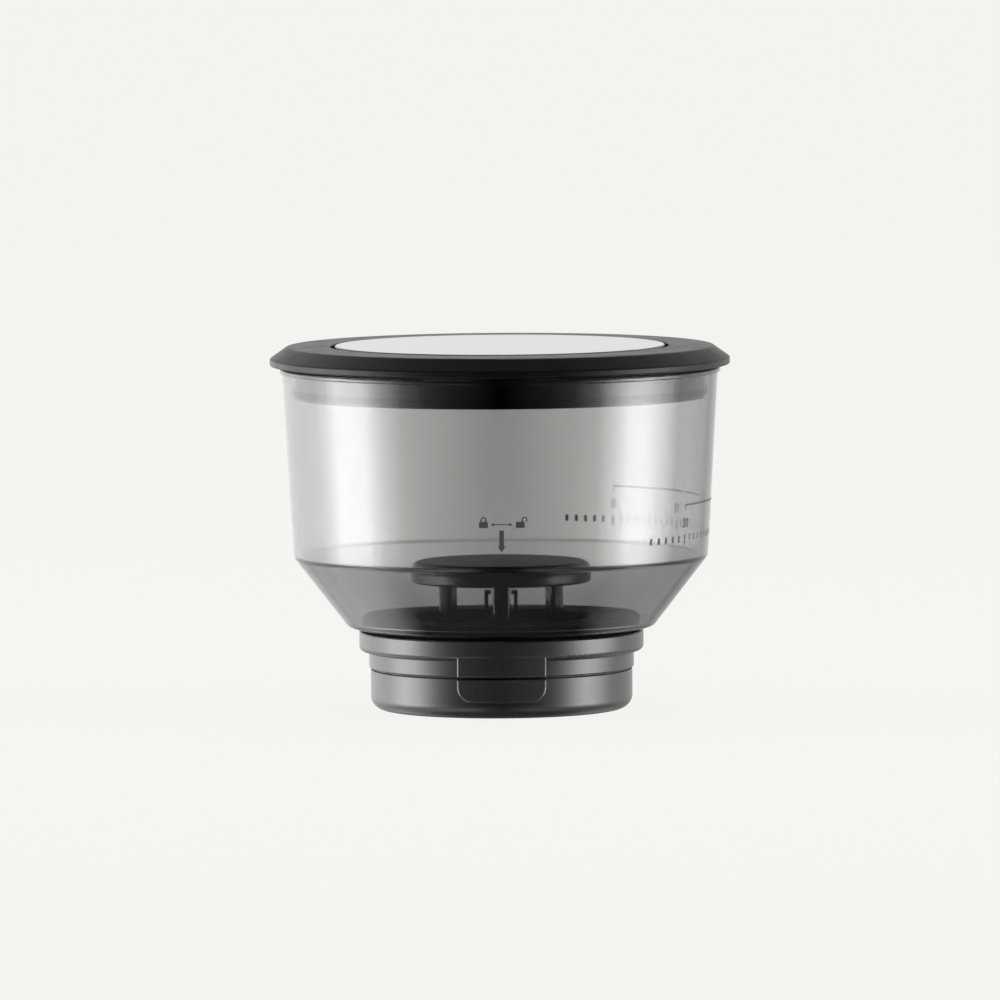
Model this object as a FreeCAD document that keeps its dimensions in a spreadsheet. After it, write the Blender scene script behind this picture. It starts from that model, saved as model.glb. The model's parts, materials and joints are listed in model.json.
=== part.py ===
"""Detachable bean hopper of a burr coffee grinder, with a lift-off lid and a turning bean gate.

Millimetres. The origin is the centre of the base's underside, +Z is up and the key tab faces -Y.
"""
import FreeCAD
import Part
import Sketcher
import math
import os
from types import SimpleNamespace

# Driving sizes: name, value in mm or degrees, meaning
SIZES = [
    ("cup_radius", 42.7, "outer radius of the lower cup"),
    ("cup_height", 13.2, "height of the lower cup up to the seam"),
    ("cup_corner", 4.6, "rounding of the cup's bottom edge"),
    ("cup_wall", 2.4, "wall of the lower cup"),
    ("cup_lip", 3.0, "thickness of the cup's bottom lip"),
    ("outlet_step", 3.0, "step from the web's bore to the outlet for the grinder's throat"),
    ("spigot_height", 4.0, "height of the cup's spigot inside the collar"),
    ("spigot_wall", 2.0, "wall of the cup's spigot"),
    ("seam_gap", 0.5, "visible gap between cup and collar"),
    ("glide_thickness", 0.4, "thickness of the glide ring in the seam"),
    ("neck_step", 0.5, "how far the collar's neck stands out from the cup"),
    ("neck_wall", 2.3, "wall of the collar's neck"),
    ("collar_height", 12.1, "height of the collar"),
    ("flange_step", 3.2, "how far the collar's flange stands out from its neck"),
    ("flange_height", 6.7, "height of the collar's flange"),
    ("flange_round", 1.8, "rounding under the flange"),
    ("web_recess", 1.5, "depth of the web below the collar's top"),
    ("web_thickness", 2.5, "thickness of the collar's inner web"),
    ("web_width", 8.9, "width of the collar's inner web"),
    ("pocket_step", 1.6, "step from the neck's outside to the pocket above the web"),
    ("key_inset", 0.1, "how far the key tab's face lies inside the flange"),
    ("key_angle", 36.8, "angle the key tab takes up"),
    ("key_drop", 7.6, "height of the key tab on the cup"),
    ("key_corner", 5.0, "rounding of the key tab's lower corners"),
    ("key_edge", 0.7, "rounding of the key tab's edges"),
    ("gasket_thickness", 1.1, "thickness of the gasket under the bowl"),
    ("bowl_overhang", 3.3, "how far the bowl's underside reaches past the flange"),
    ("bowl_shoulder_radius", 67.6, "outer radius where the cone meets the wall"),
    ("bowl_top_radius", 71.1, "outer radius of the wall under the rim"),
    ("bowl_cone_height", 23.1, "height of the bowl's cone"),
    ("bowl_height", 85.1, "height of the bowl"),
    ("bowl_wall", 2.5, "wall of the bowl"),
    ("bowl_floor", 2.5, "thickness of the bowl's floor"),
    ("bowl_floor_round", 3.2, "outer rounding of the bowl's floor edge"),
    ("bowl_shoulder_round", 4.0, "outer rounding of the bowl's shoulder"),
    ("bowl_crease", 0.6, "inner rounding of the bowl's shoulder"),
    ("bowl_inner_round", 2.0, "inner rounding of the bowl's floor"),
    ("rim_bead", 0.9, "how far the rim bead stands out from the wall"),
    ("rim_height", 2.0, "height of the rim bead"),
    ("well_gap", 0.9, "gap between the port plate's well and the web's bore"),
    ("port_thickness", 2.4, "thickness of the port plate's deck"),
    ("port_flange", 1.6, "thickness of the port plate's flange on the bowl's floor"),
    ("ledge_width", 6.8, "width of the bowl's floor ledge under the port plate"),
    ("locating_wall", 1.5, "wall of the port plate's ring inside the ledge"),
    ("port_margin", 3.0, "bowl floor left bare around the port plate"),
    ("port_wall", 1.8, "wall of the port plate's well"),
    ("finger_height", 12.7, "height of the snap fingers above the deck"),
    ("finger_reach", 5.4, "outer face of a snap finger from the axis"),
    ("finger_wall", 1.2, "thickness of a snap finger"),
    ("finger_width", 5.0, "width of a snap finger"),
    ("window_inner", 9.5, "inner radius of the bean windows"),
    ("window_inset", 4.5, "step from the web's bore to the bean windows"),
    ("window_angle", 56.0, "angle each bean window takes up"),
    ("gate_turn", 60.0, "turn of the gate from shut to open"),
    ("stop_angle", 10.0, "angle the stop lug takes up"),
    ("stop_slack", 1.0, "free angle at each end of the stop slot"),
    ("boss_radius", 3.5, "radius of the pivot boss"),
    ("boss_length", 7.7, "length of the pivot boss"),
    ("bush_radius", 5.0, "outer radius of the pivot bush"),
    ("hub_radius", 8.0, "radius of the rotor's hub"),
    ("spring_height", 1.4, "room for the spring washer"),
    ("rotor_thickness", 2.3, "thickness of the rotor's disc"),
    ("rotor_wall", 1.6, "wall of the rotor's drum"),
    ("rotor_foot", 2.5, "thickness of the rotor's foot"),
    ("hood_radius", 29.4, "radius of the hood's cap"),
    ("hood_clearance", 15.6, "height of the cap's edge above the port plate"),
    ("hood_height", 6.6, "height of the hood's cap"),
    ("hood_wall", 2.2, "wall of the hood's cap"),
    ("hood_round", 3.0, "rounding of the cap's top edge"),
    ("post_circle", 20.1, "radius of the circle of the hood's posts"),
    ("post_width", 5.5, "width of a hood post"),
    ("post_depth", 4.6, "depth of a hood post"),
    ("stem_radius", 2.9, "radius of the hood's centre stem"),
    ("lid_overhang", 3.0, "how far the lid reaches past the bowl's rim"),
    ("lid_height", 6.7, "height of the lid above the bowl's rim"),
    ("lid_lip", 2.1, "height of the lid's upright lip"),
    ("lid_lift", 0.6, "height of the lip's edge above the bowl's rim"),
    ("lid_chamfer", 5.5, "width of the lid's chamfer"),
    ("lid_seat_width", 2.0, "width of the soft ring's seat on the bowl's rim"),
    ("shell_lift", 1.0, "gap between the inner lid and the bowl's rim"),
    ("lid_plate", 2.0, "thickness of the inner lid's plate"),
    ("skirt_depth", 9.8, "depth of the lid's skirt below the rim"),
    ("skirt_wall", 2.2, "wall of the lid's skirt"),
    ("skirt_gap", 1.2, "gap between the skirt's foot and the bowl"),
    ("seal_height", 2.4, "height of the seal's groove"),
    ("seal_groove", 1.2, "depth of the seal's groove"),
    ("seal_foot", 0.8, "height of the seal's groove above the skirt's foot"),
    ("disc_margin", 14.2, "width of the lid's top ring around the disc"),
    ("disc_gap", 1.5, "gap between the metal disc and its recess"),
    ("disc_thickness", 1.4, "thickness of the metal disc"),
    ("pad_thickness", 0.5, "thickness of the disc's bonding pad"),
    ("screw_radius", 1.25, "radius of a small screw's shank"),
    ("screw_head", 2.4, "radius of a small screw's head"),
    ("head_height", 1.6, "height of a small screw's head"),
    ("screw_reach", 6.5, "length of a small screw's shank in what it holds"),
    ("screw_tip", 0.5, "length of a screw's point"),
    ("pilot_spare", 0.5, "depth of a screw's pilot hole past its point"),
    ("collar_inset", 6.0, "step from the web's bore to the circle of the collar's screws"),
    ("gate_inset", 5.5, "step from the outlet to the circle of the gate's screws"),
    ("pivot_radius", 1.5, "radius of the pivot screw's shank"),
    ("pivot_head", 3.2, "radius of the pivot screw's head"),
    ("pivot_head_height", 2.2, "height of the pivot screw's head"),
    ("washer_radius", 7.2, "radius of the pivot washer"),
    ("washer_thickness", 0.8, "thickness of the pivot washer"),
    ("free_gap", 0.4, "clearance between pieces that move past each other"),
    ("running_gap", 0.06, "clearance of the bush on its boss"),
    ("seat_gap", 0.05, "clearance between pieces that seat together"),
    ("hole_gap", 0.35, "clearance around a screw in a through hole"),
]


class Size:
    """A size worked out from the sheet: the text that is bound and the number it has now."""

    def __init__(self, text, value):
        self.text = text
        self.value = float(value)

    def __add__(self, other):
        other = as_size(other)
        return Size(f"({self.text} + {other.text})", self.value + other.value)

    def __sub__(self, other):
        other = as_size(other)
        return Size(f"({self.text} - {other.text})", self.value - other.value)

    def __mul__(self, other):
        other = as_size(other)
        return Size(f"({self.text} * {other.text})", self.value * other.value)

    def __truediv__(self, other):
        other = as_size(other)
        return Size(f"({self.text} / {other.text})", self.value / other.value)

    def __neg__(self):
        return Size(f"(0 - {self.text})", -self.value)

    def root(self):
        return Size(f"sqrt({self.text})", math.sqrt(self.value))


def as_size(number):
    return number if isinstance(number, Size) else Size(repr(float(number)), number)


doc = FreeCAD.newDocument("bean_hopper")
sheet = doc.addObject("Spreadsheet::Sheet", "Sizes")
for row, (name, value, meaning) in enumerate(SIZES, start=1):
    sheet.set(f"A{row}", meaning)
    sheet.set(f"B{row}", str(value))
    sheet.setAlias(f"B{row}", name)
doc.recompute()
s = SimpleNamespace(**{name: Size(f"Sizes.{name}", sheet.get(name)) for name, _, _ in SIZES})
bodies = []


# Helpers for bodies, sketches and features
def new_body(name, compound=False):
    body = doc.addObject("PartDesign::Body", name)
    body.Label = name
    body.AllowCompound = compound
    bodies.append(body)
    return body


def new_sketch(body, name, role, lift=None):
    plane = next(item for item in body.Origin.OriginFeatures if item.Role == role)
    sketch = body.newObject("Sketcher::SketchObject", name)
    sketch.AttachmentSupport = (plane, [""])
    sketch.MapMode = "FlatFace"
    if lift is not None:
        sketch.setExpression("AttachmentOffset.Base.z", lift.text)
    return sketch


def bind(thing, path, size):
    size = as_size(size)
    setattr(thing, path, size.value)
    thing.setExpression(path, size.text)


def fix_point(sketch, geo, end, x, y):
    for kind, size, axis in (("DistanceX", as_size(x), -2), ("DistanceY", as_size(y), -1)):
        if size.text == "0.0":
            sketch.addConstraint(Sketcher.Constraint("PointOnObject", geo, end, axis))
        else:
            index = sketch.addConstraint(Sketcher.Constraint(kind, geo, end, size.value))
            sketch.setExpression(f"Constraints[{index}]", size.text)


def rounding_points(before, corner, after, radius):
    # Tangent points and centre of the arc that rounds a corner
    to_before = (before - corner).normalize()
    to_after = (after - corner).normalize()
    half = to_before.getAngle(to_after) / 2
    reach = radius / math.tan(half)
    middle = (to_before + to_after).normalize()
    return corner + to_before * reach, corner + to_after * reach, corner + middle * (radius / math.sin(half))


def outline(sketch, corners):
    """Closed outline through the corners; a corner with a third size is rounded to that radius."""
    count = len(corners)
    spots = [FreeCAD.Vector(as_size(c[0]).value, as_size(c[1]).value, 0) for c in corners]
    arrive = list(spots)
    leave = list(spots)
    centres = {}
    for i, corner in enumerate(corners):
        if len(corner) == 3:
            radius = as_size(corner[2]).value
            after = spots[(i + 1) % count]
            arrive[i], leave[i], centres[i] = rounding_points(spots[i - 1], spots[i], after, radius)
    lines = [sketch.addGeometry(Part.LineSegment(leave[i], arrive[(i + 1) % count])) for i in range(count)]
    for i, corner in enumerate(corners):
        line_in = lines[i - 1]
        line_out = lines[i]
        if i not in centres:
            sketch.addConstraint(Sketcher.Constraint("Coincident", line_in, 2, line_out, 1))
            fix_point(sketch, line_out, 1, corner[0], corner[1])
            continue
        first = arrive[i] - centres[i]
        last = leave[i] - centres[i]
        left_turn = first.x * last.y - first.y * last.x > 0
        start, stop = (first, last) if left_turn else (last, first)
        ring = Part.Circle(centres[i], FreeCAD.Vector(0, 0, 1), first.Length)
        angles = math.atan2(start.y, start.x), math.atan2(stop.y, stop.x)
        arc = sketch.addGeometry(Part.ArcOfCircle(ring, *angles))
        spot = sketch.addGeometry(Part.Point(spots[i]), True)
        sketch.addConstraint(Sketcher.Constraint("Tangent", line_in, 2, arc, 1 if left_turn else 2))
        sketch.addConstraint(Sketcher.Constraint("Tangent", line_out, 1, arc, 2 if left_turn else 1))
        index = sketch.addConstraint(Sketcher.Constraint("Radius", arc, first.Length))
        sketch.setExpression(f"Constraints[{index}]", as_size(corner[2]).text)
        sketch.addConstraint(Sketcher.Constraint("PointOnObject", spot, 1, line_in))
        sketch.addConstraint(Sketcher.Constraint("PointOnObject", spot, 1, line_out))
        fix_point(sketch, spot, 1, corner[0], corner[1])


def turn(body, name, corners, role="XZ_Plane", cut=False, angle=None, second=None, axis_at=None):
    """Turned shape about Z, or about an upright axis at a distance; a part turn is centred on the plane."""
    sketch = new_sketch(body, f"{name}_sketch", role)
    axis = "V_Axis"
    if axis_at is not None:
        corners = [(axis_at + c[0], *c[1:]) for c in corners]
        low = corners[0][1]
        high = corners[0][1] + 1
        spindle = Part.LineSegment(
            FreeCAD.Vector(axis_at.value, low.value, 0), FreeCAD.Vector(axis_at.value, high.value, 0))
        sketch.addGeometry(spindle, True)
        fix_point(sketch, 0, 1, axis_at, low)
        fix_point(sketch, 0, 2, axis_at, high)
        axis = "Axis0"
    outline(sketch, corners)
    feature = body.newObject("PartDesign::Groove" if cut else "PartDesign::Revolution", name)
    feature.Profile = sketch
    feature.ReferenceAxis = (sketch, [axis])
    feature.Angle = 360
    if angle is not None:
        bind(feature, "Angle", angle)
        if second is None:
            feature.Midplane = True
        else:
            feature.Type = "TwoAngles"
            bind(feature, "Angle2", second)
    body.Tip = feature
    return feature


def extrude(body, name, role, length, lift=None, cut=False, back=False, middle=False,
            corners=None, circle=None):
    """Pad or pocket of an outline or a circle, along the plane's normal or back from it."""
    sketch = new_sketch(body, f"{name}_sketch", role, lift)
    if corners:
        outline(sketch, corners)
    else:
        x, y, radius = (as_size(value) for value in circle)
        place = FreeCAD.Vector(x.value, y.value, 0)
        ring = sketch.addGeometry(Part.Circle(place, FreeCAD.Vector(0, 0, 1), radius.value))
        fix_point(sketch, ring, 3, x, y)
        index = sketch.addConstraint(Sketcher.Constraint("Radius", ring, radius.value))
        sketch.setExpression(f"Constraints[{index}]", radius.text)
    feature = body.newObject("PartDesign::Pocket" if cut else "PartDesign::Pad", name)
    feature.Profile = sketch
    bind(feature, "Length", length)
    feature.Reversed = back
    feature.Midplane = middle
    body.Tip = feature
    return feature


def around(body, name, features, count):
    """Even ring of features about Z."""
    pattern = body.newObject("PartDesign::PolarPattern", name)
    pattern.Originals = features
    pattern.Axis = (next(item for item in body.Origin.OriginFeatures if item.Role == "Z_Axis"), [""])
    pattern.Angle = 360
    pattern.Occurrences = count
    body.Tip = pattern
    return pattern


def drill(body, name, x, y, radius, low, depth, count):
    """Ring of round holes cut upward from a height."""
    hole = extrude(body, name, "XY_Plane", depth, lift=low, cut=True, back=True, circle=(x, y, radius))
    return around(body, f"{name}_ring", [hole], count)


def round_edges(body, name, radius, wanted):
    """Rounds the edges of the body that the test picks out."""
    doc.recompute()
    base = body.Tip
    names = [f"Edge{i}" for i, edge in enumerate(base.Shape.Edges, start=1) if wanted(edge)]
    fillet = body.newObject("PartDesign::Fillet", name)
    fillet.Base = (base, names)
    bind(fillet, "Radius", radius)
    body.Tip = fillet
    return fillet


def box_section(inner, outer, low, high):
    return [(inner, low), (outer, low), (outer, high), (inner, high)]


def cross_recess(centre_y, arm, width):
    # Outline of a cross, for a screw's drive
    a, w = as_size(arm), as_size(width)
    return [
        (w, centre_y + w), (w, centre_y + a), (-w, centre_y + a), (-w, centre_y + w),
        (-a, centre_y + w), (-a, centre_y - w), (-w, centre_y - w), (-w, centre_y - a),
        (w, centre_y - a), (w, centre_y - w), (a, centre_y - w), (a, centre_y + w),
    ]


# Heights that pieces share
collar_low = s.cup_height + s.seam_gap
collar_top = collar_low + s.collar_height
flange_low = collar_top - s.flange_height
web_top = collar_top - s.web_recess
web_low = web_top - s.web_thickness
bowl_low = collar_top + s.gasket_thickness
bowl_top = bowl_low + s.bowl_height
floor_top = bowl_low + s.bowl_floor
port_top = web_top + s.port_thickness
flange_top = floor_top + s.port_flange
shoulder_z = bowl_low + s.bowl_cone_height
rim_low = bowl_top - s.rim_height
inner_shoulder_z = shoulder_z + s.bowl_wall * 0.37
rotor_top = web_top - s.free_gap
rotor_low = rotor_top - s.rotor_thickness
boss_low = web_top - s.boss_length
hub_low = boss_low + s.spring_height
spigot_top = s.cup_height + s.spigot_height
hood_low = port_top + s.hood_clearance
hood_top = hood_low + s.hood_height
lid_seat = bowl_top
lid_top = lid_seat + s.lid_height
shell_low = lid_seat + s.shell_lift
shell_top = shell_low + s.lid_plate
pad_low = lid_top - s.disc_thickness - s.pad_thickness + 0.2

# Radii that pieces share
neck_radius = s.cup_radius + s.neck_step
flange_radius = neck_radius + s.flange_step
key_radius = flange_radius - s.key_inset
pocket_radius = neck_radius - s.pocket_step
neck_inner = neck_radius - s.neck_wall
web_bore = neck_inner - s.web_width
outlet_radius = web_bore - s.outlet_step
window_outer = web_bore - s.window_inset
collar_circle = web_bore + s.collar_inset
gate_circle = outlet_radius + s.gate_inset
bowl_floor_radius = flange_radius + s.bowl_overhang
spigot_outer = neck_inner - s.free_gap
spigot_inner = spigot_outer - s.spigot_wall
cup_inner = s.cup_radius - s.cup_wall
drum_outer = web_bore - s.free_gap
drum_inner = drum_outer - s.rotor_wall
pilot_radius = s.screw_radius + s.seat_gap
through_radius = s.screw_radius + s.hole_gap
cone_run = (s.bowl_shoulder_radius - bowl_floor_radius) / s.bowl_cone_height
cone_lean = (cone_run * cone_run + 1).root()
bowl_inner_floor = bowl_floor_radius + s.bowl_floor * cone_run - s.bowl_wall * cone_lean
bowl_inner_shoulder = s.bowl_shoulder_radius - s.bowl_wall * 0.98
bowl_inner_top = s.bowl_top_radius - s.bowl_wall
wall_run = (bowl_inner_top - bowl_inner_shoulder) / (bowl_top - inner_shoulder_z)
skirt_low = lid_seat - s.skirt_depth
skirt_outer = bowl_inner_top - s.skirt_depth * wall_run - s.skirt_gap
skirt_inner = skirt_outer - s.skirt_wall
groove_low = skirt_low + s.seal_foot
rim_radius = s.bowl_top_radius + s.rim_bead
lid_radius = rim_radius + s.lid_overhang
lid_top_radius = lid_radius - s.lid_chamfer
shell_radius = rim_radius - s.lid_seat_width
disc_recess = lid_top_radius - s.disc_margin
disc_radius = disc_recess - s.disc_gap
ledge_radius = bowl_inner_floor - s.ledge_width
locating_outer = ledge_radius - s.free_gap
locating_inner = locating_outer - s.locating_wall
well_outer = web_bore - s.well_gap
well_inner = well_outer - s.port_wall
boss_outer = s.screw_head + s.seat_gap
pilot_depth = s.screw_reach + s.screw_tip + s.pilot_spare


# Lower cup, with the lower half of the key tab
cup = new_body("gate_cup")
turn(cup, "cup_shell", [
    (outlet_radius, 0.0, 0.5), (s.cup_radius, 0.0, s.cup_corner), (s.cup_radius, s.cup_height, 0.4),
    (spigot_outer, s.cup_height), (spigot_outer, spigot_top), (spigot_inner, spigot_top),
    (spigot_inner, s.cup_height - 2), (cup_inner, s.cup_height - 4), (cup_inner, s.cup_lip),
    (outlet_radius, s.cup_lip),
])
key_low = s.cup_height - s.key_drop
turn(cup, "cup_key", box_section(-s.cup_radius + 1, -key_radius, key_low, s.cup_height),
     role="YZ_Plane", angle=s.key_angle)


def lower_corner(edge):
    low = edge.BoundBox
    flat = low.ZLength < 0.01 and abs(low.ZMin - key_low.value) < 0.01
    return flat and edge.Curve.TypeId == "Part::GeomLine" and low.YMax < 0


round_edges(cup, "cup_key_corners", s.key_corner, lower_corner)


def on_key_face(edge):
    span = edge.LastParameter - edge.FirstParameter
    spots = [edge.valueAt(edge.FirstParameter + span * k / 4) for k in range(5)]
    return all(abs(math.hypot(p.x, p.y) - key_radius.value) < 0.01 for p in spots)


round_edges(cup, "cup_key_edges", s.key_edge, on_key_face)
turn(cup, "stop_slot", box_section(spigot_inner - 1, spigot_outer + 0.2, s.cup_height, spigot_top + 1),
     role="YZ_Plane", cut=True, angle=s.stop_angle / 2 + s.stop_slack,
     second=s.gate_turn + s.stop_angle / 2 + s.stop_slack)
gate_head_depth = s.head_height + 0.3
drill(cup, "gate_head_recess", 0.0, gate_circle, s.screw_head + s.hole_gap, as_size(0.0), gate_head_depth, 3)
drill(cup, "gate_through", 0.0, gate_circle, through_radius, as_size(0.0), s.cup_lip, 3)

# Glide ring in the seam between cup and collar
glide = new_body("glide_ring")
turn(glide, "glide_section", box_section(
    spigot_outer + s.free_gap, s.cup_radius - 0.5, s.cup_height, s.cup_height + s.glide_thickness))

# Rotor of the bean gate
rotor = new_body("gate_rotor")
foot_top = s.cup_lip + s.rotor_foot
foot_radius = cup_inner - s.free_gap * 2
turn(rotor, "rotor_shell", [
    (s.bush_radius, rotor_top), (drum_outer, rotor_top), (drum_outer, foot_top, 1.2),
    (foot_radius, foot_top), (foot_radius, s.cup_lip), (drum_inner, s.cup_lip),
    (drum_inner, rotor_low), (s.hub_radius, rotor_low),
    (s.hub_radius, hub_low), (s.bush_radius, hub_low),
])
rotor_window = turn(rotor, "rotor_window", box_section(
    -s.window_inner, -window_outer, rotor_low - 1, rotor_top + 1),
    role="YZ_Plane", cut=True, angle=s.window_angle)
around(rotor, "rotor_windows", [rotor_window], 3)
foot_boss_height = pilot_depth - s.cup_lip + gate_head_depth
foot_boss = extrude(rotor, "foot_boss", "XY_Plane", foot_boss_height + 1, lift=s.cup_lip,
                    circle=(0.0, gate_circle, s.screw_head + 0.8))
around(rotor, "foot_bosses", [foot_boss], 3)
gusset = extrude(rotor, "gusset", "YZ_Plane", as_size(1.6), middle=True, corners=[
    (-drum_outer + 0.5, foot_top - 0.5), (-foot_radius + 1, foot_top - 0.5),
    (-foot_radius + 1, foot_top + 0.8), (-drum_outer + 0.5, foot_top + 8)])
around(rotor, "gussets", [gusset], 3)
drill(rotor, "gate_pilot", 0.0, gate_circle, pilot_radius, s.cup_lip, foot_boss_height, 3)

# Bearing bush in the rotor's hub
bush = new_body("pivot_bush")
turn(bush, "bush_section", box_section(
    s.boss_radius + s.running_gap, s.bush_radius - s.seat_gap, hub_low, rotor_top))

# Screws that hold the cup to the rotor
gate_screws = new_body("gate_screws", compound=True)
head_low = gate_head_depth - s.head_height
gate_screw = turn(gate_screws, "gate_screw", [
    (as_size(0.0), head_low), (s.screw_head - 0.4, head_low), (s.screw_head, head_low + 0.4),
    (s.screw_head, gate_head_depth), (s.screw_radius, gate_head_depth),
    (s.screw_radius, gate_head_depth + s.screw_reach),
    (as_size(0.0), gate_head_depth + s.screw_reach + s.screw_tip),
], role="YZ_Plane", axis_at=gate_circle)
gate_drive = extrude(gate_screws, "gate_drive", "XY_Plane", as_size(0.9), lift=head_low, cut=True, back=True,
                     corners=cross_recess(gate_circle, 1.2, 0.35))
around(gate_screws, "gate_screw_ring", [gate_screw, gate_drive], 3)

# Collar, with the flange and the upper half of the key tab
collar = new_body("collar")
turn(collar, "collar_shell", [
    (neck_inner, collar_low), (neck_radius, collar_low, 0.4), (neck_radius, flange_low, 0.6),
    (flange_radius, flange_low, s.flange_round), (flange_radius, collar_top, 0.6),
    (pocket_radius, collar_top), (pocket_radius, web_top), (web_bore, web_top), (web_bore, web_low),
    (neck_inner, web_low),
])
key_top = flange_low + s.flange_round + 1
turn(collar, "collar_key", box_section(-neck_radius + 1, -key_radius, collar_low, key_top),
     role="YZ_Plane", angle=s.key_angle)
turn(collar, "stop_lug", box_section(spigot_inner + 0.2, neck_inner + 1, collar_low + 0.6, spigot_top + 0.6),
     role="YZ_Plane", angle=s.stop_angle)
drill(collar, "collar_through", 0.0, -collar_circle, through_radius, web_low, s.web_thickness, 4)


def key_upright(edge):
    spots = [edge.valueAt(edge.FirstParameter), edge.valueAt(edge.LastParameter)]
    on_face = all(abs(math.hypot(p.x, p.y) - key_radius.value) < 0.01 for p in spots)
    return on_face and min(p.z for p in spots) < collar_low.value + 0.01 and edge.BoundBox.YMax < 0


round_edges(collar, "collar_key_edges", s.key_edge, key_upright)

# Gasket between collar and bowl
gasket = new_body("bowl_gasket")
turn(gasket, "gasket_section", box_section(pocket_radius + 0.6, flange_radius - 0.8, collar_top, bowl_low))

# Bowl
bowl = new_body("bowl")
turn(bowl, "bowl_shell", [
    (ledge_radius, bowl_low), (bowl_floor_radius, bowl_low, s.bowl_floor_round),
    (s.bowl_shoulder_radius, shoulder_z, s.bowl_shoulder_round), (s.bowl_top_radius, rim_low),
    (rim_radius, rim_low + 0.2, 0.4), (rim_radius, bowl_top, 0.9), (bowl_inner_top, bowl_top, 0.6),
    (bowl_inner_shoulder, inner_shoulder_z, s.bowl_crease),
    (bowl_inner_floor, floor_top, s.bowl_inner_round), (ledge_radius, floor_top),
])

# Screws that hold the collar and the port plate together, with the bowl's floor between them
collar_screws = new_body("collar_screws", compound=True)
collar_screw_top = floor_top + s.port_flange * 0.3
collar_screw = turn(collar_screws, "collar_screw", [
    (as_size(0.0), web_low - s.head_height), (s.screw_head - 0.4, web_low - s.head_height),
    (s.screw_head, web_low - s.head_height + 0.4), (s.screw_head, web_low), (s.screw_radius, web_low),
    (s.screw_radius, collar_screw_top - s.screw_tip), (as_size(0.0), collar_screw_top),
], role="YZ_Plane", axis_at=-collar_circle)
around(collar_screws, "collar_screw_ring", [collar_screw], 4)

# Port plate on the bowl's floor, with a well through the throat
port = new_body("port_plate")
pivot_hole = s.pivot_radius + s.seat_gap
port_edge = bowl_inner_floor - s.port_margin
turn(port, "port_shell", [
    (pivot_hole, boss_low), (s.boss_radius, boss_low), (s.boss_radius, web_top), (well_outer, web_top),
    (well_outer, floor_top), (locating_inner, floor_top), (locating_inner, bowl_low),
    (locating_outer, bowl_low), (locating_outer, floor_top), (port_edge, floor_top),
    (port_edge, flange_top, 0.8), (well_inner, flange_top, 0.8),
    (window_outer, port_top), (pivot_hole, port_top),
])
port_window = turn(port, "port_window", box_section(
    s.window_inner, window_outer, web_top - 1, port_top + 1),
    role="YZ_Plane", cut=True, angle=s.window_angle)
around(port, "port_windows", [port_window], 3)
sink = turn(port, "hood_sink", [
    (as_size(0.0), web_top - 0.2), (s.screw_head + s.hole_gap, web_top - 0.2),
    (s.screw_head + s.hole_gap, web_top + 0.3),
    (through_radius, web_top + 1.5), (through_radius, port_top + 1), (as_size(0.0), port_top + 1),
], role="YZ_Plane", cut=True, axis_at=-s.post_circle)
around(port, "hood_sinks", [sink], 3)
port_boss = extrude(port, "port_boss", "XY_Plane", floor_top + 0.5 - web_top, lift=web_top,
                    circle=(0.0, -collar_circle, boss_outer))
around(port, "port_bosses", [port_boss], 4)
port_pilot_depth = floor_top + s.port_flange * 0.6 - web_top
drill(port, "port_pilot", 0.0, -collar_circle, pilot_radius, web_top, port_pilot_depth, 4)
finger_top = port_top + s.finger_height
finger = extrude(port, "snap_finger", "XZ_Plane", s.finger_width, middle=True, corners=[
    (s.finger_reach - s.finger_wall, port_top - 0.5), (s.finger_reach, port_top - 0.5),
    (s.finger_reach, finger_top), (s.stem_radius + s.free_gap, finger_top),
    (s.stem_radius + s.free_gap, finger_top - s.finger_wall),
    (s.finger_reach - s.finger_wall, finger_top - s.finger_wall)])
around(port, "snap_fingers", [finger], 2)

# Hood over the outlet, on three posts and a centre stem
hood = new_body("bean_hood")
turn(hood, "hood_shell", [
    (0.0, hood_top), (s.hood_radius, hood_top - 0.4, s.hood_round), (s.hood_radius, hood_low, 0.8),
    (s.hood_radius - s.hood_wall, hood_low), (s.hood_radius - s.hood_wall, hood_top - s.hood_wall - 0.4),
    (s.stem_radius, hood_top - s.hood_wall), (s.stem_radius, port_top), (pivot_hole, port_top),
    (pivot_hole, port_top + pilot_depth), (0.0, port_top + pilot_depth + s.screw_tip),
])
half_width = s.post_width / 2
half_depth = s.post_depth / 2
post_height = hood_top - s.hood_wall + 0.6 - port_top
post = extrude(hood, "hood_post", "XY_Plane", post_height, lift=port_top, corners=[
    (-half_width, -s.post_circle - half_depth, 1.2), (half_width, -s.post_circle - half_depth, 1.2),
    (half_width, -s.post_circle + half_depth, 1.2), (-half_width, -s.post_circle + half_depth, 1.2)])
around(hood, "hood_posts", [post], 3)
drill(hood, "hood_pilot", 0.0, -s.post_circle, pilot_radius, port_top, pilot_depth, 3)

# Countersunk screws that hold the hood to the port plate
hood_screws = new_body("hood_screws", compound=True)
hood_screw = turn(hood_screws, "hood_screw", [
    (as_size(0.0), web_top + 0.1), (s.screw_head, web_top + 0.1), (s.screw_head, web_top + 0.35),
    (s.screw_radius, web_top + 1.5), (s.screw_radius, port_top + s.screw_reach),
    (as_size(0.0), port_top + s.screw_reach + s.screw_tip),
], role="YZ_Plane", axis_at=-s.post_circle)
around(hood_screws, "hood_screw_ring", [hood_screw], 3)

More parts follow.
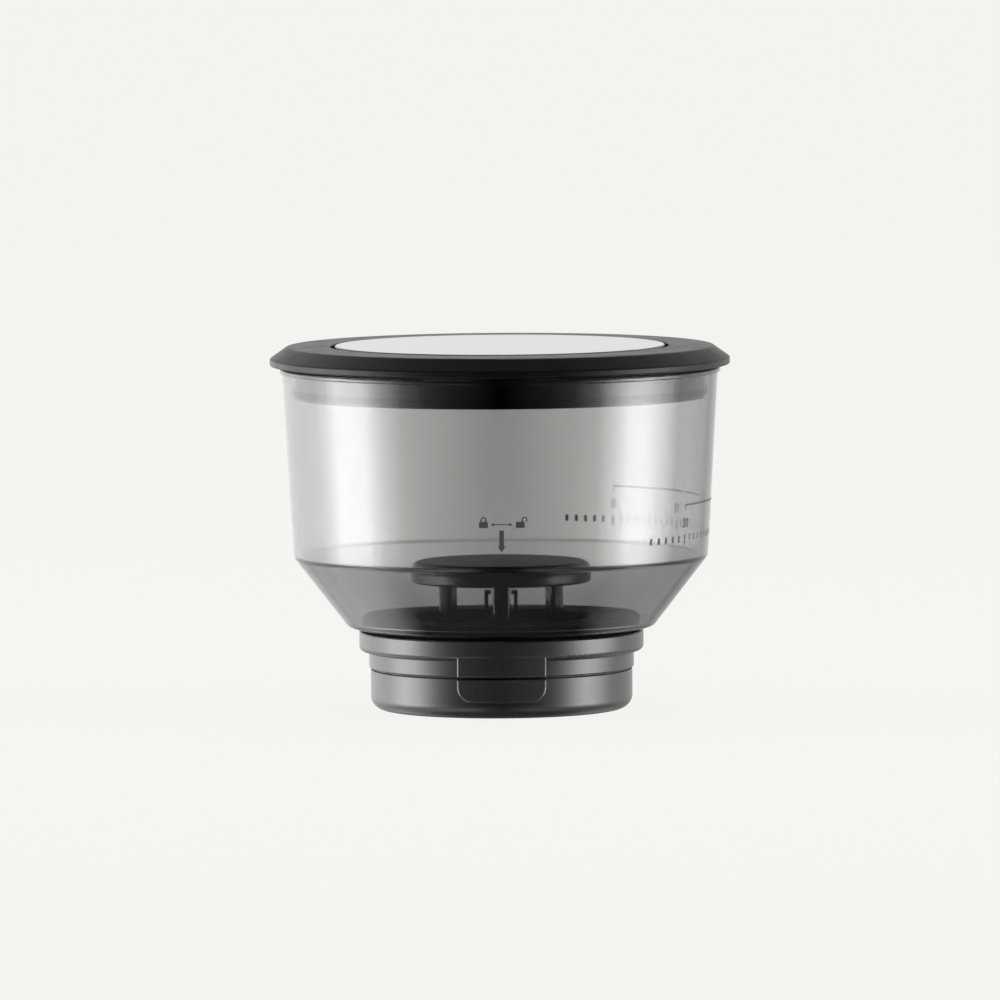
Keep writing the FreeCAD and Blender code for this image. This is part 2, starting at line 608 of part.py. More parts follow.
# Pivot screw, washer and spring washer
pivot_screw = new_body("pivot_screw")
washer_low = boss_low - s.washer_thickness
pivot_head_low = washer_low - s.pivot_head_height
turn(pivot_screw, "pivot_turned", [
    (0.0, pivot_head_low), (s.pivot_head - 0.5, pivot_head_low), (s.pivot_head, pivot_head_low + 0.5),
    (s.pivot_head, washer_low), (s.pivot_radius, washer_low), (s.pivot_radius, port_top + s.screw_reach),
    (0.0, port_top + s.screw_reach + s.screw_tip)])
extrude(pivot_screw, "pivot_drive", "XY_Plane", as_size(1.2), lift=pivot_head_low, cut=True, back=True,
        corners=cross_recess(as_size(0.0), 1.7, 0.45))
washer = new_body("pivot_washer")
turn(washer, "washer_section", box_section(pivot_hole + 0.15, s.washer_radius, washer_low, boss_low))
spring = new_body("spring_washer")
turn(spring, "spring_section", [
    (s.boss_radius + 0.7, hub_low - 0.65), (s.washer_radius - 0.2, boss_low),
    (s.washer_radius - 0.2, boss_low + 0.6),
    (s.boss_radius + 0.7, hub_low - s.seat_gap)])

# Stiff inner lid with the skirt
shell = new_body("lid_shell")
turn(shell, "lid_plate_section", [
    (0.0, shell_low), (skirt_inner, shell_low), (skirt_inner, skirt_low), (skirt_outer, skirt_low),
    (skirt_outer, groove_low), (skirt_outer - s.seal_groove, groove_low),
    (skirt_outer - s.seal_groove, groove_low + s.seal_height), (skirt_outer, groove_low + s.seal_height),
    (skirt_outer, shell_low), (shell_radius - s.seat_gap, shell_low), (shell_radius - s.seat_gap, shell_top),
    (disc_recess - s.seat_gap, shell_top), (disc_recess - s.seat_gap, pad_low), (0.0, pad_low),
])
lid_rib = extrude(shell, "lid_rib", "YZ_Plane", as_size(1.8), middle=True, corners=[
    (disc_recess / 4, shell_low + 0.5), (disc_recess / 4, shell_low - 2.4),
    (skirt_inner + 0.5, shell_low - 4), (skirt_inner + 0.5, shell_low + 0.5)])
around(shell, "lid_ribs", [lid_rib], 8)

# Soft outer ring of the lid
rim = new_body("lid_rim")
lip_low = lid_seat + s.lid_lift
turn(rim, "lid_rim_section", [
    (disc_recess, shell_top), (shell_radius, shell_top), (shell_radius, lid_seat),
    (rim_radius + 0.2, lid_seat),
    (lid_radius, lip_low, 0.5), (lid_radius, lip_low + s.lid_lip, 0.7), (lid_top_radius, lid_top - 0.1, 1.6),
    (disc_recess, lid_top, 0.5),
])

# Metal disc in the lid and its bonding pad
disc = new_body("lid_disc")
disc_low = pad_low + s.pad_thickness
turn(disc, "disc_section", [
    (0.0, disc_low), (disc_radius, disc_low), (disc_radius, disc_low + s.disc_thickness, 0.5),
    (0.0, disc_low + s.disc_thickness)])
pad = new_body("lid_disc_pad")
turn(pad, "pad_section", [
    (0.0, pad_low), (disc_radius - 1.5, pad_low), (disc_radius - 1.5, disc_low), (0.0, disc_low)])

# Ring seal low on the skirt
seal = new_body("lid_seal")
seal_low = groove_low + s.seat_gap
seal_top = groove_low + s.seal_height - s.seat_gap
seal_nose = skirt_outer + s.skirt_gap - s.free_gap
turn(seal, "seal_section", [
    (skirt_outer - s.seal_groove + s.seat_gap, seal_low), (skirt_outer, seal_low),
    (seal_nose, seal_low + 0.7), (seal_nose, seal_top - 0.7), (skirt_outer, seal_top),
    (skirt_outer - s.seal_groove + s.seat_gap, seal_top)])

# Check every piece, then write it
doc.recompute()
for item in doc.Objects:
    if "Invalid" in item.State or "Error" in item.State:
        raise RuntimeError(f"{item.Name} did not build: {item.State}")
os.makedirs("parts", exist_ok=True)
for body in bodies:
    if body.Shape.isNull() or not body.Shape.isValid() or not body.Shape.Solids:
        raise RuntimeError(f"{body.Label} has no valid solid")
    body.Shape.exportStep(f"parts/{body.Label}.step")
    print(body.Label, len(body.Shape.Solids), round(body.Shape.Volume, 1), body.Shape.BoundBox)
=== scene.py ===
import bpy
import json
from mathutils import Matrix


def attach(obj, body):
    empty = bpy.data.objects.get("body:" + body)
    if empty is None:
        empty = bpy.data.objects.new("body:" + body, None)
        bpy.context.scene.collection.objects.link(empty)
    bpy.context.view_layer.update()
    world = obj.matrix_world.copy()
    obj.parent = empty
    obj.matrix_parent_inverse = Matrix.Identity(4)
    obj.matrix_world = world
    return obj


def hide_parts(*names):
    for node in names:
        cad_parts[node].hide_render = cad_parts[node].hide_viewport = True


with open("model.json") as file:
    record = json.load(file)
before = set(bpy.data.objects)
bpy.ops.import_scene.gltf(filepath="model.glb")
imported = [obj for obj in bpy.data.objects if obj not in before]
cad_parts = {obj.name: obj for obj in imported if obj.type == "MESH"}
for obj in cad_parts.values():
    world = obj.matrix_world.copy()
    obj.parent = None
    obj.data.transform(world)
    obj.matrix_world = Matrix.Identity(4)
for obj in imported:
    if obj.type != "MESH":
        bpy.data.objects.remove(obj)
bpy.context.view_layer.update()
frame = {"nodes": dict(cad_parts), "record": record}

import json
import math

import bmesh
import bpy
from mathutils import Euler, Matrix, Vector

MM = 0.001
NODES = frame["nodes"]
BACKGROUND = (0.905, 0.896, 0.863)
NOISE_BAND = (0.3, 0.7)
SHARP = math.radians(35)


# Node helpers
def node(tree, kind, **values):
    made = tree.nodes.new(kind)
    for key, value in values.items():
        setattr(made, key, value)
    return made


def link(tree, source, target):
    tree.links.new(source, target)


def math_node(tree, operation, first, second=None):
    made = node(tree, "ShaderNodeMath", operation=operation)
    for index, value in enumerate((first, second)):
        if value is None:
            continue
        if isinstance(value, (int, float)):
            made.inputs[index].default_value = value
        else:
            link(tree, value, made.inputs[index])
    return made.outputs[0]


def product(tree, first, *others):
    for other in others:
        first = math_node(tree, "MULTIPLY", first, other)
    return first


def total(tree, first, *others):
    for other in others:
        first = math_node(tree, "ADD", first, other)
    return first


def map_range(tree, value, source, target, kind="SMOOTHSTEP"):
    """Value carried from one span to another, held at its ends."""
    made = node(tree, "ShaderNodeMapRange", interpolation_type=kind)
    link(tree, value, made.inputs["Value"])
    for key, number in zip(("From Min", "From Max", "To Min", "To Max"), (*source, *target)):
        made.inputs[key].default_value = number
    return made.outputs["Result"]


def noise(tree, scale, detail=3.0, rough=0.55, stretch=(1, 1, 1)):
    place = node(tree, "ShaderNodeTexCoord")
    mapping = node(tree, "ShaderNodeMapping")
    mapping.inputs["Scale"].default_value = stretch
    link(tree, place.outputs["Object"], mapping.inputs["Vector"])
    made = node(tree, "ShaderNodeTexNoise")
    made.inputs["Scale"].default_value = scale
    made.inputs["Detail"].default_value = detail
    made.inputs["Roughness"].default_value = rough
    link(tree, mapping.outputs["Vector"], made.inputs["Vector"])
    return made.outputs["Fac"]


def ramp(tree, value, stops):
    """Colours between stops, each a place and a colour."""
    made = node(tree, "ShaderNodeValToRGB")
    elements = made.color_ramp.elements
    while len(elements) < len(stops):
        elements.new(0.5)
    for element, (place, colour) in zip(elements, stops):
        element.position = place
        element.color = (*colour, 1)
    link(tree, value, made.inputs["Fac"])
    return made.outputs["Color"]


def bump(tree, shader, height, strength, distance):
    made = node(tree, "ShaderNodeBump")
    made.inputs["Strength"].default_value = strength
    made.inputs["Distance"].default_value = distance
    link(tree, height, made.inputs["Height"])
    link(tree, made.outputs["Normal"], shader.inputs["Normal"])


def facing_up(tree):
    """How far the surface faces up: 1 on a flat top, 0 on an upright wall."""
    split = node(tree, "ShaderNodeSeparateXYZ")
    link(tree, node(tree, "ShaderNodeNewGeometry").outputs["Normal"], split.inputs[0])
    return split.outputs["Z"]


def mix_shader(tree, factor, first, second):
    made = node(tree, "ShaderNodeMixShader")
    for source, target in zip((factor, first, second), made.inputs):
        link(tree, source, target)
    return made.outputs[0]


# Materials
def new_material(name):
    material = bpy.data.materials.new(name)
    material.use_nodes = True
    tree = material.node_tree
    shader = tree.nodes["Principled BSDF"]
    return material, tree, shader


def moulded(name, dark, light, rough, grain, depth, specular=0.5, patch=0.08):
    """Moulded plastic or rubber: faint colour drift, patchy gloss and a fine grain."""
    material, tree, shader = new_material(name)
    drift = noise(tree, scale=60, detail=4)
    low, high = NOISE_BAND
    link(tree, ramp(tree, drift, [(low, dark), (high, light)]), shader.inputs["Base Color"])
    gloss = noise(tree, scale=140, detail=5, rough=0.6)
    patchy = map_range(tree, gloss, NOISE_BAND, (rough - patch, rough + patch))
    link(tree, patchy, shader.inputs["Roughness"])
    shader.inputs["Specular IOR Level"].default_value = specular
    bump(tree, shader, noise(tree, scale=grain, detail=2), strength=0.25, distance=depth)
    return material


def metal(name, colour, rough, stretch, scale, depth, spread=0.06, metallic=1.0):
    """Brushed or turned metal with fine lines."""
    material, tree, shader = new_material(name)
    shader.inputs["Metallic"].default_value = metallic
    lines = noise(tree, scale, detail=3, rough=0.6, stretch=stretch)
    darker = tuple(channel * (1 - spread * 1.6) for channel in colour)
    link(tree, ramp(tree, lines, [(0.35, darker), (0.65, colour)]), shader.inputs["Base Color"])
    uneven = map_range(tree, lines, NOISE_BAND, (rough - spread, rough + spread))
    link(tree, uneven, shader.inputs["Roughness"])
    bump(tree, shader, lines, strength=0.15, distance=depth)
    return material


def disc_metal():
    """Plain satin disc, with painted shade on its rounded edge."""
    material = metal("disc_metal", (0.64, 0.64, 0.64), rough=0.22, stretch=(1, 60, 1), scale=400,
                     depth=0.0000005, spread=0.015, metallic=0.5)
    tree = material.node_tree
    colour = tree.nodes["Principled BSDF"].inputs["Base Color"]
    # Painted shade: the colour is darkened where the surface turns away from straight up, which dims the
    # highlight on the disc's rounded edge.
    painted_edge_shade = node(tree, "ShaderNodeVectorMath", operation="SCALE")
    link(tree, colour.links[0].from_socket, painted_edge_shade.inputs[0])
    link(tree, map_range(tree, facing_up(tree), (0.85, 0.99), (0.12, 1.0)), painted_edge_shade.inputs["Scale"])
    link(tree, painted_edge_shade.outputs["Vector"], colour)
    return material


def hood_satin():
    """Moulded hood, matte on its flat top and glossier round its edge."""
    material = moulded("hood_satin", (0.004, 0.004, 0.0042), (0.007, 0.007, 0.0073), rough=0.16, grain=700,
                       depth=0.000003, specular=0.55, patch=0.02)
    tree = material.node_tree
    rough = tree.nodes["Principled BSDF"].inputs["Roughness"]
    matte = map_range(tree, facing_up(tree), (0.6, 0.95), (0, 0.24))
    link(tree, total(tree, rough.links[0].from_socket, matte), rough)
    return material


def smoke_clear():
    """Smoke-tinted clear plastic: the tint is in the depth of the wall."""
    material, tree, shader = new_material("smoke_clear")
    shader.inputs["Base Color"].default_value = (1, 1, 1, 1)
    shader.inputs["Transmission Weight"].default_value = 1.0
    shader.inputs["IOR"].default_value = 1.56
    haze = noise(tree, scale=35, detail=4)
    link(tree, map_range(tree, haze, (0.35, 0.7), (0.015, 0.05)), shader.inputs["Roughness"])
    tint = node(tree, "ShaderNodeVolumeAbsorption")
    tint.inputs["Color"].default_value = (0.1, 0.1, 0.1, 1)
    tint.inputs["Density"].default_value = 250
    link(tree, tint.outputs["Volume"], tree.nodes["Material Output"].inputs["Volume"])
    return material


MATERIALS = {
    "black_matte": moulded("black_matte", (0.003, 0.003, 0.0032), (0.006, 0.006, 0.0063),
                           rough=0.16, grain=900, depth=0.00001, specular=0.3, patch=0.03),
    "smoke_clear": smoke_clear(),
    "dark_grey": moulded("dark_grey", (0.020, 0.020, 0.021), (0.030, 0.030, 0.031),
                         rough=0.28, grain=1400, depth=0.00002, specular=0.68, patch=0.015),
    "black_rubber": moulded("black_rubber", (0.0015, 0.0015, 0.0015), (0.003, 0.003, 0.003),
                            rough=0.8, grain=1200, depth=0.00003, specular=0.05),
    "lid_soft": moulded("lid_soft", (0.0018, 0.0018, 0.0019), (0.0036, 0.0036, 0.0038),
                        rough=0.36, grain=1600, depth=0.00002, specular=0.26, patch=0.03),
    "disc_metal": disc_metal(),
    "pad_foam": moulded("pad_foam", (0.6, 0.59, 0.55), (0.72, 0.71, 0.67),
                        rough=0.8, grain=1500, depth=0.0001),
    "nylon": moulded("nylon", (0.006, 0.006, 0.006), (0.012, 0.012, 0.012),
                     rough=0.5, grain=1200, depth=0.00003),
    "screw_steel": metal("screw_steel", (0.55, 0.55, 0.56), rough=0.3, stretch=(1, 1, 30), scale=300,
                         depth=0.00001),
    "floor_satin": moulded("floor_satin", (0.003, 0.003, 0.0032), (0.006, 0.006, 0.0063),
                           rough=0.6, grain=900, depth=0.00003, specular=0.15),
    "hood_satin": hood_satin(),
    "print_ink": moulded("print_ink", (0.055, 0.055, 0.057), (0.07, 0.07, 0.072),
                         rough=0.5, grain=2000, depth=0.00001),
    "bush_brass": metal("bush_brass", (0.72, 0.55, 0.26), rough=0.28, stretch=(1, 1, 40), scale=300,
                        depth=0.00001),
}


# Mesh helpers
def rounded(corners, steps):
    """Points of a closed outline whose corners with a third number are rounded to that radius."""
    points = []
    count = len(corners)
    for index, corner in enumerate(corners):
        here = Vector(corner[:2])
        if len(corner) == 2:
            points.append(here)
            continue
        before = (Vector(corners[index - 1][:2]) - here).normalized()
        after = (Vector(corners[(index + 1) % count][:2]) - here).normalized()
        half = before.angle(after) / 2
        reach = corner[2] / math.tan(half)
        centre = here + (before + after).normalized() * (corner[2] / math.sin(half))
        start = here + before * reach - centre
        sweep = start.angle_signed(here + after * reach - centre)
        for step in range(steps + 1):
            turn = -sweep * step / steps
            spin = Vector((start.x * math.cos(turn) - start.y * math.sin(turn),
                           start.x * math.sin(turn) + start.y * math.cos(turn)))
            points.append(centre + spin)
    return points


def to_object(name, work):
    """Object from a finished mesh in work."""
    mesh = bpy.data.meshes.new(name)
    work.to_mesh(mesh)
    work.free()
    made = bpy.data.objects.new(name, mesh)
    bpy.context.collection.objects.link(made)
    return made


def lathe(name, corners, segments, steps):
    """Turned ring about Z from a closed outline in millimetres."""
    outline = rounded(corners, steps)
    work = bmesh.new()
    rings = []
    for segment in range(segments):
        angle = 2 * math.pi * segment / segments
        rings.append([work.verts.new((p.x * MM * math.cos(angle), p.x * MM * math.sin(angle), p.y * MM))
                      for p in outline])
    for segment in range(segments):
        one = rings[segment]
        two = rings[(segment + 1) % segments]
        for index in range(len(outline)):
            after = (index + 1) % len(outline)
            face = work.faces.new((one[index], two[index], two[after], one[after]))
            face.smooth = True
    bmesh.ops.recalc_face_normals(work, faces=work.faces)
    for edge in work.edges:
        if edge.calc_face_angle(0) > SHARP:
            edge.smooth = False
    made = to_object(name, work)
    made.modifiers.new("even_normals", "WEIGHTED_NORMAL").keep_sharp = True
    return made


def dress(made, slot, body, finish=None):
    made.data.materials.clear()
    made.data.materials.append(MATERIALS[finish or slot])
    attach(made, body)


# CAD nodes keep their shape and take the finished materials
OWN_FINISH = {"port_plate": "floor_satin", "bean_hood": "hood_satin"}
for entry in frame["record"]["subparts"]:
    kept = NODES[entry["node"]]
    kept.data.materials.clear()
    kept.data.materials.append(MATERIALS[OWN_FINISH.get(entry["node"], entry["material_slot"])])

# Bowl, turned finely so that the see-through wall has no facets; sizes in millimetres
BOWL_LOW = 26.9
BOWL_TOP = 112.0
FLOOR_RADIUS = 49.7
FLOOR_ROUND = 3.2
SHOULDER = Vector((67.6, 50.0))
SHOULDER_ROUND = 4.0
CREASE_ROUND = 0.6
WALL_TOP = Vector((71.1, 110.0))
RIM_RADIUS = 72.0
WALL = 2.5
FLOOR_TOP = BOWL_LOW + WALL
LEDGE = 6.8
cone_run = (SHOULDER.x - FLOOR_RADIUS) / (SHOULDER.y - BOWL_LOW)
inner_floor = FLOOR_RADIUS + (FLOOR_TOP - BOWL_LOW) * cone_run - WALL * math.sqrt(cone_run ** 2 + 1)
ledge = inner_floor - LEDGE
bowl = lathe("bowl_clear", [
    (ledge, BOWL_LOW),
    (FLOOR_RADIUS, BOWL_LOW, FLOOR_ROUND),
    (*SHOULDER, SHOULDER_ROUND),
    tuple(WALL_TOP),
    (RIM_RADIUS, WALL_TOP.y + 0.2, 0.4),
    (RIM_RADIUS, BOWL_TOP, 0.9),
    (WALL_TOP.x - WALL, BOWL_TOP, 0.6),
    (SHOULDER.x - WALL * 0.98, SHOULDER.y + WALL * 0.37, CREASE_ROUND),
    (inner_floor, FLOOR_TOP, 2.0),
    (ledge, FLOOR_TOP),
], segments=256, steps=12)
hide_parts("bowl")
dress(bowl, "smoke_clear", "hopper")


# Print on the bowl's outer wall: signs at the front and a turning scale at the right
INK_LIFT = 0.05
INK_LENGTH = 0.8
FRONT = 179.8


def on_wall(across, height, turn):
    """Point on the wall, across to the right as seen from outside; turn in degrees from the back to +X."""
    lean = (height - SHOULDER.y) * (WALL_TOP.x - SHOULDER.x) / (WALL_TOP.y - SHOULDER.y)
    radius = SHOULDER.x + lean + INK_LIFT
    angle = math.radians(turn) - across / radius
    return (radius * math.sin(angle) * MM, radius * math.cos(angle) * MM, height * MM)


def strip(work, turn, start, end, width):
    """One printed line between two points, cut into short lengths so that it follows the wall."""
    start = Vector(start)
    end = Vector(end)
    side = (end - start).normalized().orthogonal() * width / 2
    parts = max(1, math.ceil(abs(end.x - start.x) / INK_LENGTH))
    rows = []
    for part in range(parts + 1):
        middle = start.lerp(end, part / parts)
        rows.append([work.verts.new(on_wall(*(middle + side * sign), turn)) for sign in (-1, 1)])
    for one, two in zip(rows, rows[1:]):
        work.faces.new((one[0], two[0], two[1], one[1]))


def patch(work, turn, corners):
    work.faces.new([work.verts.new(on_wall(*corner, turn)) for corner in corners])


def printed(name, work):
    bmesh.ops.recalc_face_normals(work, faces=work.faces)
    dress(to_object(name, work), "black_matte", "hopper", finish="print_ink")


LOCK_LOW = 64.1
LOCK_TOP = LOCK_LOW + 2.0
LOCK_HALF = 1.43
SHACKLE_HIGH = LOCK_LOW + 2.65
SHACKLE_RADIUS = 0.72
SHACKLE_LINE = 0.45


def padlock(name, centre, swing):
    """Padlock sign; the swing moves the shackle to the side for an open one."""
    work = bmesh.new()
    left = centre - LOCK_HALF
    right = centre + LOCK_HALF
    patch(work, FRONT, [(left, LOCK_LOW), (right, LOCK_LOW), (right, LOCK_TOP), (left, LOCK_TOP)])
    middle = centre + swing
    bend = [(middle + SHACKLE_RADIUS * math.cos(math.radians(turn)),
             SHACKLE_HIGH + SHACKLE_RADIUS * math.sin(math.radians(turn))) for turn in range(0, 181, 20)]
    line = [(middle + SHACKLE_RADIUS, LOCK_TOP), *bend, (middle - SHACKLE_RADIUS, LOCK_TOP)]
    for one, two in zip(line, line[1:]):
        strip(work, FRONT, one, two, SHACKLE_LINE)
    printed(name, work)


padlock("sign_closed", centre=-5.8, swing=0.0)
padlock("sign_open", centre=6.03, swing=1.4)

# Arrow between the padlocks, and the pointer under it
ARROW_HIGH = 65.2
ARROW_FLARE = 0.55
POINTER_TOP = 63.3
POINTER_NECK = 58.2
POINTER_TIP = 56.2
POINTER_FLARE = 1.3
arrows = bmesh.new()
strip(arrows, FRONT, (-3.0, ARROW_HIGH), (3.0, ARROW_HIGH), 0.35)
for way in (-1, 1):
    patch(arrows, FRONT, [(way * 3.5, ARROW_HIGH), (way * 2.5, ARROW_HIGH + ARROW_FLARE),
                          (way * 2.5, ARROW_HIGH - ARROW_FLARE)])
strip(arrows, FRONT, (0, POINTER_TOP), (0, POINTER_NECK - 0.1), 1.5)
patch(arrows, FRONT, [(-POINTER_FLARE, POINTER_NECK), (POINTER_FLARE, POINTER_NECK), (0, POINTER_TIP)])
printed("sign_arrows", arrows)

# Scale: turns in degrees, heights and widths in millimetres
SCALE_ZERO = 34.25
SCALE_STEP = 2.83
SCALE_LAST = 30
SCALE_HIGH = 59.0
LONG_EVERY = 10
BRACKET_HIGH = 68.6
BRACKET_LINE = 0.5
BRACKET_RADIUS = 69
NUMBER_LOW = 61.5
scale = bmesh.new()
for mark in range(SCALE_LAST + 1):
    length, width = (3.3, 0.8) if mark % LONG_EVERY == 0 else (2.0, 0.65)
    turn = SCALE_ZERO + SCALE_STEP * mark
    strip(scale, turn, (0, SCALE_HIGH), (0, SCALE_HIGH - length), width)
# Five thicker marks run out past each end
for mark in range(5):
    for turn in (SCALE_ZERO - 3.3 - 2.9 * mark, SCALE_ZERO + SCALE_STEP * SCALE_LAST + 3.1 + 3.1 * mark):
        strip(scale, turn, (0, SCALE_HIGH - 0.3), (0, SCALE_HIGH - 2.4), 1.1)


def bracket(first, last):
    """Line over a stretch of the scale with a short drop at each end."""
    turn = SCALE_ZERO + SCALE_STEP * (first + last) / 2
    half = math.radians(SCALE_STEP) * (last - first) / 2 * BRACKET_RADIUS
    strip(scale, turn, (-half, BRACKET_HIGH), (half, BRACKET_HIGH), BRACKET_LINE)
    for end in (-half, half):
        strip(scale, turn, (end, BRACKET_HIGH + 0.2), (end, BRACKET_HIGH - 1.6), BRACKET_LINE)


bracket(0, 11)
bracket(12, SCALE_LAST)
printed("scale_marks", scale)


def number(text, turn):
    """Printed number, its outline bent round the wall."""
    curve = bpy.data.curves.new("number", "FONT")
    curve.body = text
    curve.size = 4.0
    curve.offset = 0.11
    curve.align_x = "CENTER"
    shape = bpy.data.objects.new("number", curve)
    flat = shape.to_mesh()
    work = bmesh.new()
    work.from_mesh(flat)
    shape.to_mesh_clear()
    bpy.data.objects.remove(shape)
    bpy.data.curves.remove(curve)
    for vertex in work.verts:
        vertex.co = on_wall(vertex.co.x, NUMBER_LOW + vertex.co.y, turn)
    printed(f"scale_number_{text}", work)


for mark in range(0, SCALE_LAST + 1, LONG_EVERY):
    number(str(mark), SCALE_ZERO + SCALE_STEP * mark)

# Stage: floor, world and lamps, in metres
scene = bpy.context.scene
scene.view_settings.view_transform = "Standard"

FLOOR_REACH = 60
FLOOR_DROP = 0.0003
FLOOR_LEVEL = 0.98
floor_mesh = bpy.data.meshes.new("floor")
floor_corners = [(x * FLOOR_REACH, y * FLOOR_REACH, 0) for x, y in ((-1, -1), (1, -1), (1, 1), (-1, 1))]
floor_mesh.from_pydata(floor_corners, [], [(0, 1, 2, 3)])
floor = bpy.data.objects.new("floor", floor_mesh)
bpy.context.collection.objects.link(floor)
floor.location.z = -FLOOR_DROP
floor.visible_glossy = False


def ray_kinds(tree):
    """Light path, and 1 for rays that were mirrored on their way and for rays that were scattered."""
    path = node(tree, "ShaderNodeLightPath")
    mirrored = math_node(tree, "MINIMUM", path.outputs["Glossy Depth"], 1.0)
    scattered = math_node(tree, "MINIMUM", path.outputs["Diffuse Depth"], 1.0)
    return path, mirrored, scattered


def floor_material():
    """Pale and even to the camera, with the part's faint shadow.

    Rays straight through the clear wall find painted shade on it near the part and painted light off the
    middle.
    Mirrored rays pass it and find the world, and scattered rays find a plain pale sheet.
    """
    material = bpy.data.materials.new("floor_pale")
    material.use_nodes = True
    tree = material.node_tree
    tree.nodes.clear()
    out = node(tree, "ShaderNodeOutputMaterial")
    path, mirrored, scattered = ray_kinds(tree)
    place = node(tree, "ShaderNodeTexCoord").outputs["Object"]
    split = node(tree, "ShaderNodeSeparateXYZ")
    link(tree, place, split.inputs[0])
    length = node(tree, "ShaderNodeVectorMath", operation="LENGTH")
    link(tree, place, length.inputs[0])
    reach = length.outputs["Value"]

    # Painted shade for rays straight through the clear wall: the floor is darker near the part, with painted
    # light in the middle close behind it, painted shade beside that, and painted light off the middle behind
    # it.
    painted_shadow_near_part = map_range(tree, reach, (0.4, 0.66), (0.6, 1.0))
    aside = math_node(tree, "ABSOLUTE", split.outputs["X"])
    behind = map_range(tree, split.outputs["Y"], (-0.05, 0.15), (0.0, 1.0))
    painted_light_and_shade_behind = product(tree, map_range(tree, reach, (0.3, 0.46), (1.0, 0.0)), behind,
                    map_range(tree, aside, (0.015, 0.045), (0.25, -0.12)))
    painted_light_off_middle = product(tree, map_range(tree, aside, (0.0, 0.05), (0.0, 0.37)), behind)
    painted_floor_tone = product(tree, total(tree, painted_shadow_near_part, painted_light_and_shade_behind), total(tree, painted_light_off_middle, FLOOR_LEVEL))

    straight = math_node(tree, "SUBTRACT", 1.0, math_node(tree, "MAXIMUM", mirrored, scattered))
    through = product(tree, path.outputs["Is Transmission Ray"], straight)
    even = product(tree, math_node(tree, "SUBTRACT", 1.0, through), FLOOR_LEVEL)
    shine = node(tree, "ShaderNodeEmission")
    shine.inputs["Color"].default_value = (*BACKGROUND, 1)
    link(tree, total(tree, even, product(tree, through, painted_floor_tone)), shine.inputs["Strength"])
    thin = node(tree, "ShaderNodeBsdfDiffuse")
    thin.inputs["Color"].default_value = (0.03, 0.03, 0.029, 1)
    both = node(tree, "ShaderNodeAddShader")
    link(tree, shine.outputs[0], both.inputs[0])
    link(tree, thin.outputs[0], both.inputs[1])
    plain = node(tree, "ShaderNodeBsdfDiffuse")
    plain.inputs["Color"].default_value = (0.7, 0.69, 0.66, 1)
    seen = math_node(tree, "MAXIMUM", path.outputs["Is Camera Ray"], through)
    shown = mix_shader(tree, seen, plain.outputs[0], both.outputs[0])
    clear = node(tree, "ShaderNodeBsdfTransparent")
    link(tree, mix_shader(tree, mirrored, shown, clear.outputs[0]), out.inputs["Surface"])
    return material


floor_mesh.materials.append(floor_material())

# Strength of the soft boxes by turn from the front, in degrees; the front is dark
BOXES = [(-180, 0.25), (-150, 1.0), (-133, 1.8), (-118, 3.0), (-108, 5.1), (-98, 8.5), (-80, 8.5),
         (-68, 3.9), (-54, 1.1), (-40, 0.35), (-26, 0.15), (0, 0.0), (26, 0.12), (40, 0.3), (54, 1.2),
         (66, 4.7), (74, 7.8), (84, 7.8), (95, 4.9), (111, 1.4), (133, 0.8), (150, 0.5), (180, 0.25)]
BOX_FULL = 12.0
# Strength of the pale table and of the room overhead by the ray's own height, from -1 to 1
TABLE = [(-0.87, 0.0), (-0.78, 1.1), (-0.72, 1.4), (-0.58, 1.3), (-0.36, 0.0)]
TABLE_FULL = 1.4
OVERHEAD = [(0.12, 0.0), (0.35, 0.75), (0.6, 0.75), (0.85, 0.3), (0.94, 0.12), (1.0, 0.08)]
SCATTERED_LEVEL = 0.55


def levels(tree, value, stops, full=1.0):
    """Grey ramp between stops, each a place from 0 to 1 and a strength up to full."""
    return ramp(tree, value, [(place, (strength / full,) * 3) for place, strength in stops])


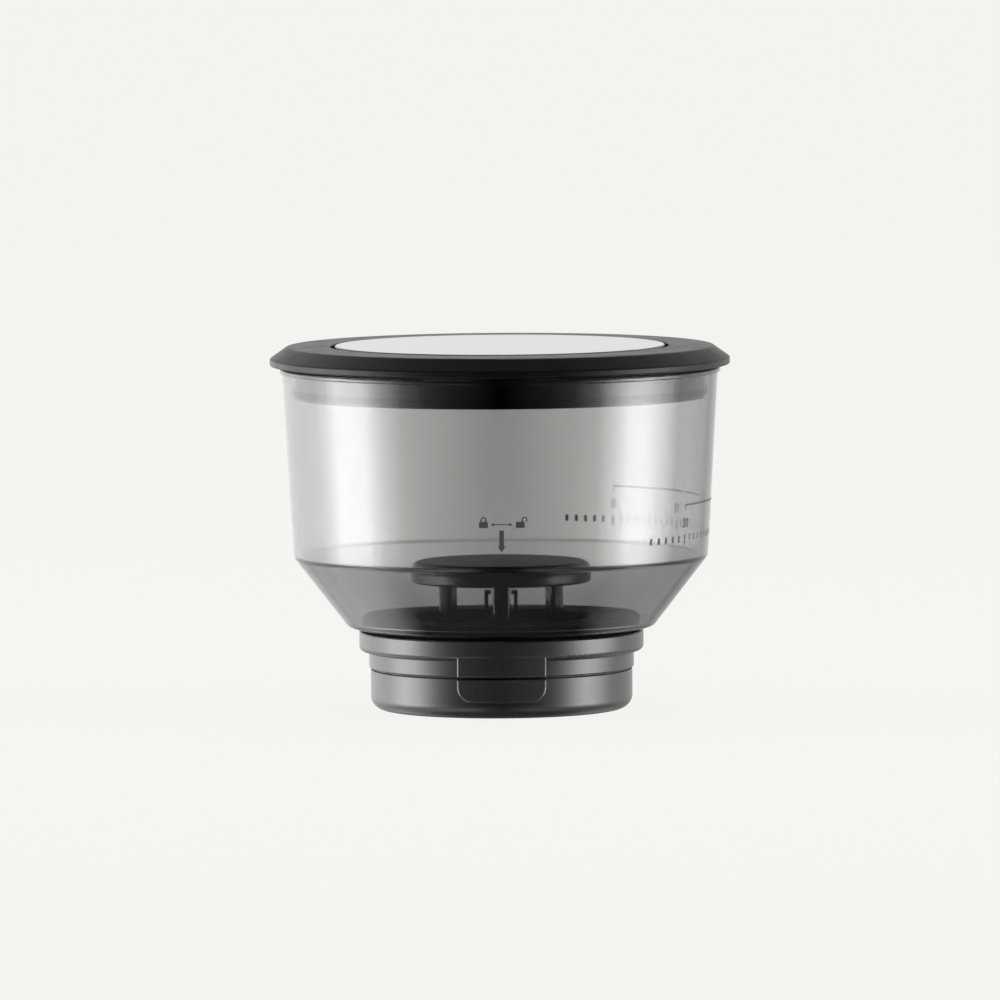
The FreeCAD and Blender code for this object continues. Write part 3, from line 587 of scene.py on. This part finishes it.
def build_world():
    """Plain pale ground to the camera, fading upwards for rays straight through the clear wall.

    Mirrored rays find soft boxes at the sides, a dark front, a pale back and table and a dim room overhead.
    Scattered rays find an even light.
    """
    world = bpy.data.worlds.new("studio")
    scene.world = world
    world.use_nodes = True
    world.cycles.sampling_method = "NONE"
    tree = world.node_tree
    tree.nodes.clear()
    out = node(tree, "ShaderNodeOutputWorld")
    path, mirrored, scattered = ray_kinds(tree)
    split = node(tree, "ShaderNodeSeparateXYZ")
    link(tree, node(tree, "ShaderNodeTexCoord").outputs["Generated"], split.inputs[0])
    x, y, z = split.outputs

    azimuth = math_node(tree, "ARCTAN2", x, product(tree, y, -1))
    around = map_range(tree, azimuth, (-math.pi, math.pi), (0, 1), kind="LINEAR")
    tall = product(tree, map_range(tree, z, (-0.02, 0.08), (1, 0.08)),
                   map_range(tree, z, (-0.56, -0.25), (0, 1)), map_range(tree, z, (0.4, 0.75), (1, 0.05)))
    box_stops = [((turn + 180) / 360, strength) for turn, strength in BOXES]
    soft = product(tree, levels(tree, around, box_stops, BOX_FULL), BOX_FULL, tall)

    dim_right = map_range(tree, x, (-0.1, 0.7), (1, 0.45))
    band = product(tree, map_range(tree, z, (-0.3, 0.07), (0.2, 1)), map_range(tree, z, (0.12, 0.3), (1, 0)))
    back = product(tree, map_range(tree, y, (0.2, 0.8), (0, 0.95)), dim_right, band)

    table_stops = [(height + 1, strength) for height, strength in TABLE]
    pale = product(tree, levels(tree, total(tree, z, 1.0), table_stops, TABLE_FULL), TABLE_FULL)
    beside = map_range(tree, math_node(tree, "ABSOLUTE", x), (0.1, 0.4), (0.03, 1))
    under = map_range(tree, z, (-0.9, -0.8), (0.17, 0))
    below = product(tree, total(tree, product(tree, pale, beside), under), dim_right)

    upper = product(tree, levels(tree, z, OVERHEAD), map_range(tree, x, (-0.1, 0.7), (1, 0.55)),
                    map_range(tree, y, (-0.2, 0.35), (0.2, 1)))
    through = map_range(tree, z, (0.02, 0.16), (1.0, 0.06))

    def ground(strength, colour=(1, 1, 1)):
        made = node(tree, "ShaderNodeBackground")
        made.inputs["Color"].default_value = (*colour, 1)
        if isinstance(strength, (int, float)):
            made.inputs["Strength"].default_value = strength
        else:
            link(tree, strength, made.inputs["Strength"])
        return made.outputs[0]

    seen = path.outputs["Is Camera Ray"]
    result = mix_shader(tree, seen, ground(through, BACKGROUND), ground(1.0, BACKGROUND))
    result = mix_shader(tree, mirrored, result, ground(total(tree, soft, back, below, upper)))
    result = mix_shader(tree, scattered, result, ground(SCATTERED_LEVEL))
    link(tree, result, out.inputs["Surface"])


build_world()

LAMP_AIM = Vector((0, 0, 0.06))


def lamp(name, place, width, height, power):
    data = bpy.data.lights.new(name, "AREA")
    data.shape = "RECTANGLE"
    data.size = width
    data.size_y = height
    data.energy = power
    data.specular_factor = 0
    made = bpy.data.objects.new(name, data)
    bpy.context.collection.objects.link(made)
    made.location = place
    made.rotation_euler = (LAMP_AIM - Vector(place)).to_track_quat("-Z", "Y").to_euler()
    made.visible_camera = False
    made.visible_glossy = False
    made.visible_transmission = False


lamp("left_box", (-1.3, 0.2, 0.5), width=0.6, height=0.9, power=9)
lamp("right_box", (1.3, -0.2, 0.5), width=0.6, height=0.9, power=8)
lamp("top_box", (0, 0.1, 1.6), width=1.2, height=1.2, power=10)

# Camera at the photograph's angle
DISTANCE = 4.1
ELEVATION = math.radians(4.2)
ROLL = math.radians(-0.35)
LOOK_AT = Vector((-0.0002, 0, 0.0681))
SENSOR = 36
PICTURE_WIDTH = 0.3262
camera_data = bpy.data.cameras.new("camera")
camera_data.sensor_width = SENSOR
camera_data.lens = SENSOR * DISTANCE / PICTURE_WIDTH
camera = bpy.data.objects.new("camera", camera_data)
bpy.context.collection.objects.link(camera)
camera.location = LOOK_AT + Vector((0, -math.cos(ELEVATION), math.sin(ELEVATION))) * DISTANCE
tilt = Euler((math.radians(90) - ELEVATION, 0, 0)).to_matrix() @ Matrix.Rotation(ROLL, 3, "Z")
camera.rotation_euler = tilt.to_euler()
scene.camera = camera
